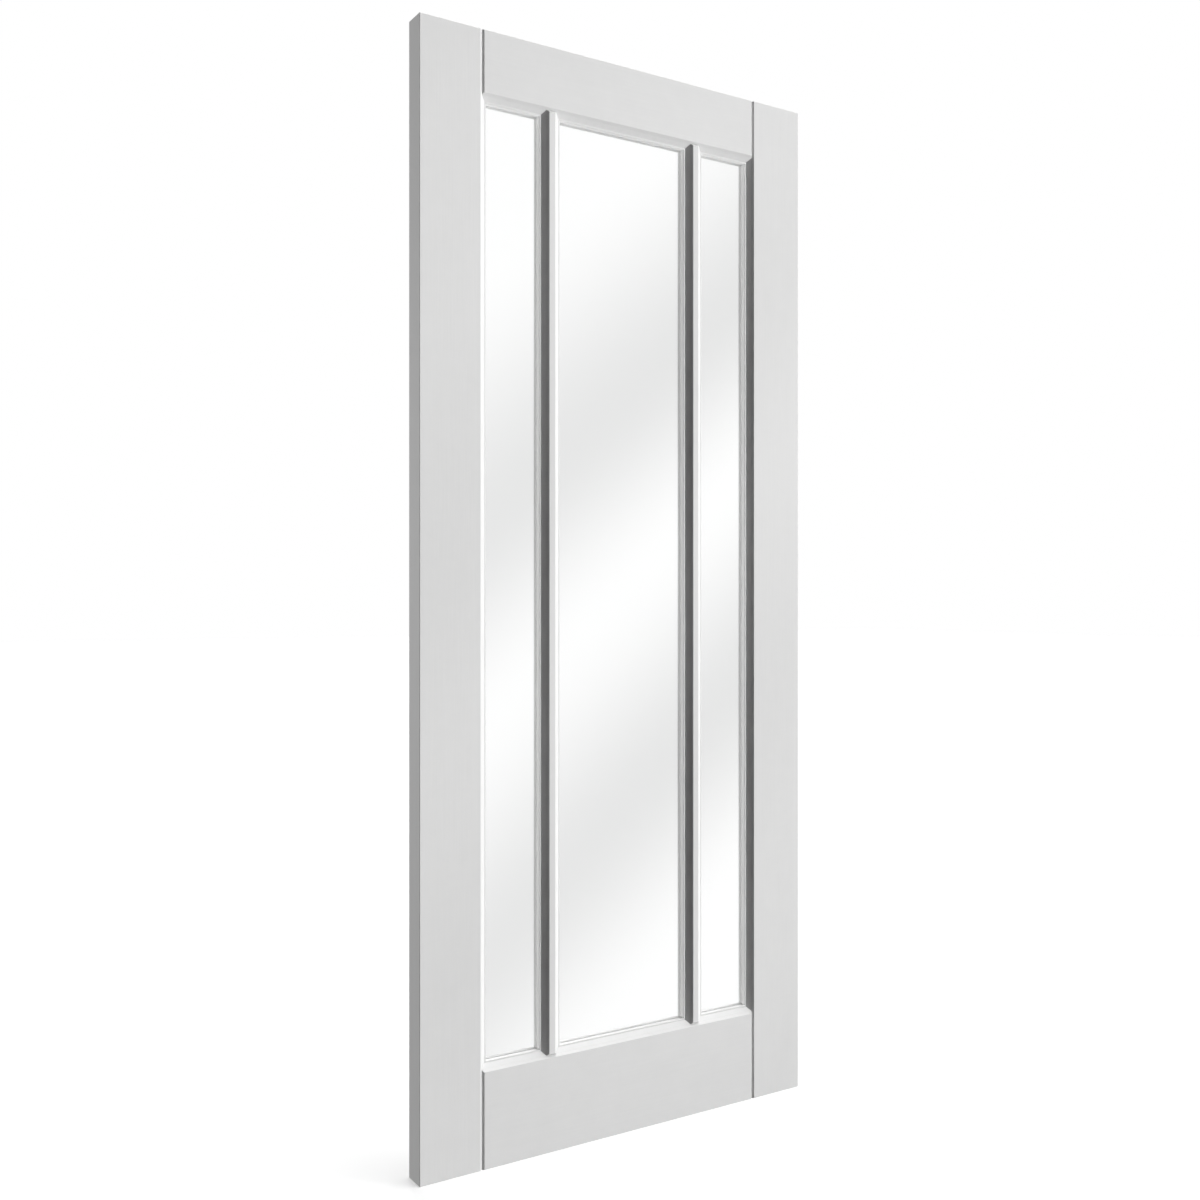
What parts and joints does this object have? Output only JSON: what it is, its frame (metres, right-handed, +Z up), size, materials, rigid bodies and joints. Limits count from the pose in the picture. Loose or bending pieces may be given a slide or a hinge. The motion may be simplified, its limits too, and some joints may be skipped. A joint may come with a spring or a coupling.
{
  "type": "glazed interior door leaf",
  "caption": "White painted interior door leaf with tall clear glass lights between slim upright bars, V-grooved member joints and mitred bevelled beads.",
  "frame": {"origin": "on the hinge edge of the leaf, at its bottom corner, in the middle of the thickness", "axes": "+X across the leaf from the hinge edge to the latch edge, +Y from the front face to the back face, +Z up"},
  "size_m": [0.838, 0.044, 1.981],
  "materials": {
    "painted_timber": "white satin paint over primed timber, with a faint grain",
    "clear_glass": "clear polished toughened glass"
  },
  "bodies": {
    "root": {"left_stile": "painted_timber", "right_stile": "painted_timber", "top_rail": "painted_timber", "bottom_rail": "painted_timber", "left_glazing_bar": "painted_timber", "right_glazing_bar": "painted_timber", "left_pane": "clear_glass", "left_pane_front_left_bead": "painted_timber", "left_pane_back_left_bead": "painted_timber", "left_pane_front_right_bead": "painted_timber", "left_pane_back_right_bead": "painted_timber", "left_pane_front_bottom_bead": "painted_timber", "left_pane_back_bottom_bead": "painted_timber", "left_pane_front_top_bead": "painted_timber", "left_pane_back_top_bead": "painted_timber", "centre_pane": "clear_glass", "centre_pane_front_left_bead": "painted_timber", "centre_pane_back_left_bead": "painted_timber", "centre_pane_front_right_bead": "painted_timber", "centre_pane_back_right_bead": "painted_timber", "centre_pane_front_bottom_bead": "painted_timber", "centre_pane_back_bottom_bead": "painted_timber", "centre_pane_front_top_bead": "painted_timber", "centre_pane_back_top_bead": "painted_timber", "right_pane": "clear_glass", "right_pane_front_left_bead": "painted_timber", "right_pane_back_left_bead": "painted_timber", "right_pane_front_right_bead": "painted_timber", "right_pane_back_right_bead": "painted_timber", "right_pane_front_bottom_bead": "painted_timber", "right_pane_back_bottom_bead": "painted_timber", "right_pane_front_top_bead": "painted_timber", "right_pane_back_top_bead": "painted_timber"}
  },
  "joints": []
}
